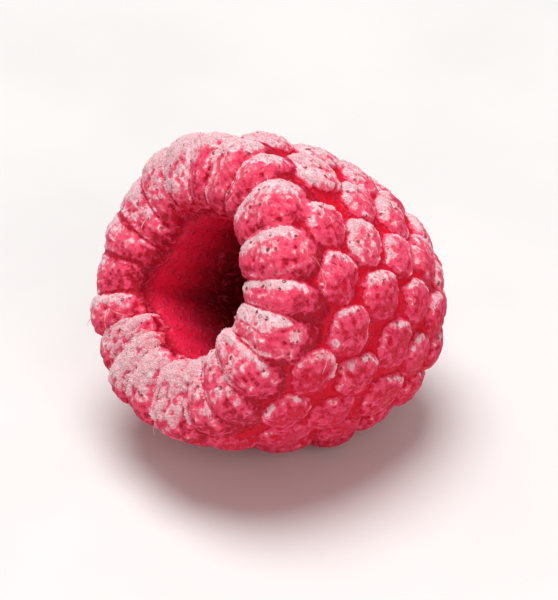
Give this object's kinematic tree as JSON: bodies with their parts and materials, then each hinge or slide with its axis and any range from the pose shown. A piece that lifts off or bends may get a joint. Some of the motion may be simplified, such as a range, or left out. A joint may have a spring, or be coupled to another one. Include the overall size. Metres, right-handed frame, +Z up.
{
  "type": "raspberry",
  "caption": "Picked, frozen raspberry lying on its side, a bumpy oval of drupelets round an open hollow whose mouth looks forwards and up.",
  "frame": {"origin": "on the surface that the fruit lies on, under the middle of its box", "axes": "+Z up, the mouth of the hollow looks towards -Y and 28 degrees up, +Y towards the tip, +X to the right of a viewer who looks into the mouth"},
  "size_m": [0.0184, 0.0202, 0.0191],
  "materials": {
    "drupelet_flesh": "satin"
  },
  "bodies": {
    "root": {"raspberry": "drupelet_flesh"}
  },
  "joints": []
}
